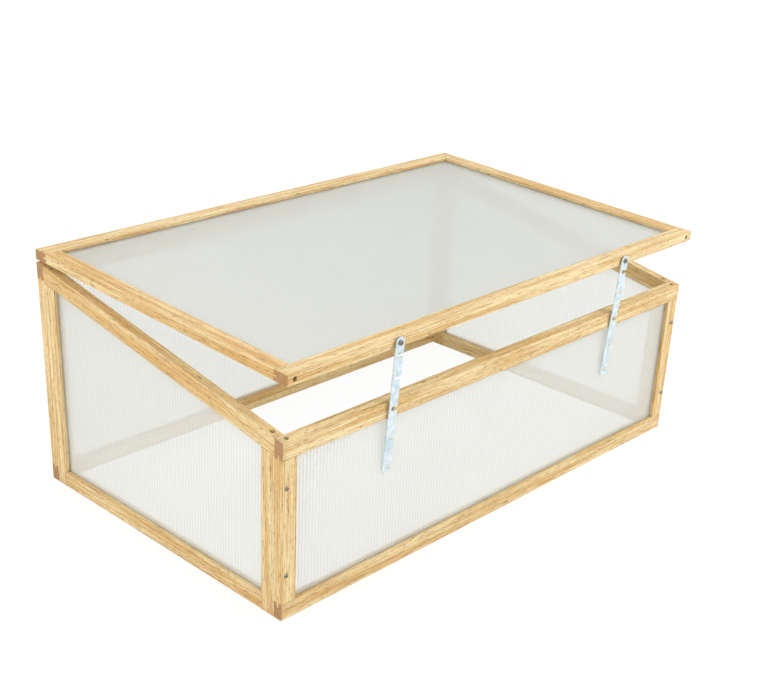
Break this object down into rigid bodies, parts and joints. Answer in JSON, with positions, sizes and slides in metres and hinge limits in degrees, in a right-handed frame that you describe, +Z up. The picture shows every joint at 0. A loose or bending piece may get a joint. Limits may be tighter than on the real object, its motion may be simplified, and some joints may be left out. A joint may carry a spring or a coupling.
{
  "type": "cold frame",
  "caption": "Timber cold frame with clear twin-wall panels, a sloping hinged lid and notched steel props that hold the lid open over catch screws on the front rail.",
  "frame": {"origin": "middle of the footprint, on the ground", "axes": "+X to the right along the front, +Y from the front to the back, +Z up"},
  "size_m": [1, 0.6222, 0.4219],
  "materials": {
    "larch": "satin",
    "glazing": "satin",
    "galvanised": "satin",
    "screw_steel": "satin"
  },
  "bodies": {
    "base": {"back_bottom_rail": "larch", "back_glazing": "glazing", "back_panel_screw_left_1": "screw_steel", "back_panel_screw_left_2": "screw_steel", "back_panel_screw_right_1": "screw_steel", "back_panel_screw_right_2": "screw_steel", "back_rail_screw_left": "screw_steel", "back_rail_screw_right": "screw_steel", "back_stile_left": "larch", "back_stile_right": "larch", "back_top_rail": "larch", "front_bottom_rail": "larch", "front_glazing": "glazing", "front_panel_screw_left_1": "screw_steel", "front_panel_screw_left_2": "screw_steel", "front_panel_screw_right_1": "screw_steel", "front_panel_screw_right_2": "screw_steel", "front_rail_screw_left": "screw_steel", "front_rail_screw_right": "screw_steel", "front_stile_left": "larch", "front_stile_right": "larch", "front_top_rail": "larch", "left_bottom_rail": "larch", "left_catch_screw": "screw_steel", "left_glazing": "glazing", "left_hinge_base_leaf": "galvanised", "left_rail_screw_back": "screw_steel", "left_rail_screw_front": "screw_steel", "left_stile_back": "larch", "left_stile_front": "larch", "left_top_rail": "larch", "right_bottom_rail": "larch", "right_catch_screw": "screw_steel", "right_glazing": "glazing", "right_hinge_base_leaf": "galvanised", "right_rail_screw_back": "screw_steel", "right_rail_screw_front": "screw_steel", "right_stile_back": "larch", "right_stile_front": "larch", "right_top_rail": "larch"},
    "hinge_pins": {"left_hinge_pin": "screw_steel", "right_hinge_pin": "screw_steel"},
    "lid": {"left_hinge_lid_leaf": "galvanised", "left_pivot_screw": "screw_steel", "lid_back_rail": "larch", "lid_front_rail": "larch", "lid_glazing": "glazing", "lid_screw_back_left": "screw_steel", "lid_screw_back_right": "screw_steel", "lid_screw_front_left": "screw_steel", "lid_screw_front_right": "screw_steel", "lid_side_rail_left": "larch", "lid_side_rail_right": "larch", "right_hinge_lid_leaf": "galvanised", "right_pivot_screw": "screw_steel"},
    "left_prop_mount": {"left_prop_washer": "screw_steel"},
    "left_prop": {"left_prop": "galvanised"},
    "right_prop_mount": {"right_prop_washer": "screw_steel"},
    "right_prop": {"right_prop": "galvanised"}
  },
  "joints": [
    {"name": "lid_lower", "type": "hinge", "parent": "base", "child": "hinge_pins", "pos_m": [0, 0.30811, 0.4025], "axis": [1, 0, 0], "range_deg": [0, 8.3]},
    {"name": "lid_raise", "type": "hinge", "parent": "hinge_pins", "child": "lid", "pos_m": [0, 0.30811, 0.4025], "axis": [-1, 0, 0], "range_deg": [0, 90]},
    {"name": "left_prop_tilt", "type": "hinge", "parent": "lid", "child": "left_prop_mount", "pos_m": [-0.282, -0.30691, 0.39307], "axis": [1, 0, 0], "range_deg": [-10.3, 0]},
    {"name": "left_prop_swing", "type": "hinge", "parent": "left_prop_mount", "child": "left_prop", "pos_m": [-0.282, -0.30691, 0.39307], "axis": [0, 0.9972, 0.0752], "range_deg": [0, 80]},
    {"name": "right_prop_tilt", "type": "hinge", "parent": "lid", "child": "right_prop_mount", "pos_m": [0.285, -0.30691, 0.39307], "axis": [1, 0, 0], "range_deg": [-10.3, 0]},
    {"name": "right_prop_swing", "type": "hinge", "parent": "right_prop_mount", "child": "right_prop", "pos_m": [0.285, -0.30691, 0.39307], "axis": [0, 0.9972, 0.0752], "range_deg": [0, 80]}
  ],
  "couplings": [
    {"joint": "left_prop_tilt", "follows": "lid_lower", "ratio": -1.24},
    {"joint": "right_prop_tilt", "follows": "lid_lower", "ratio": -1.24}
  ]
}
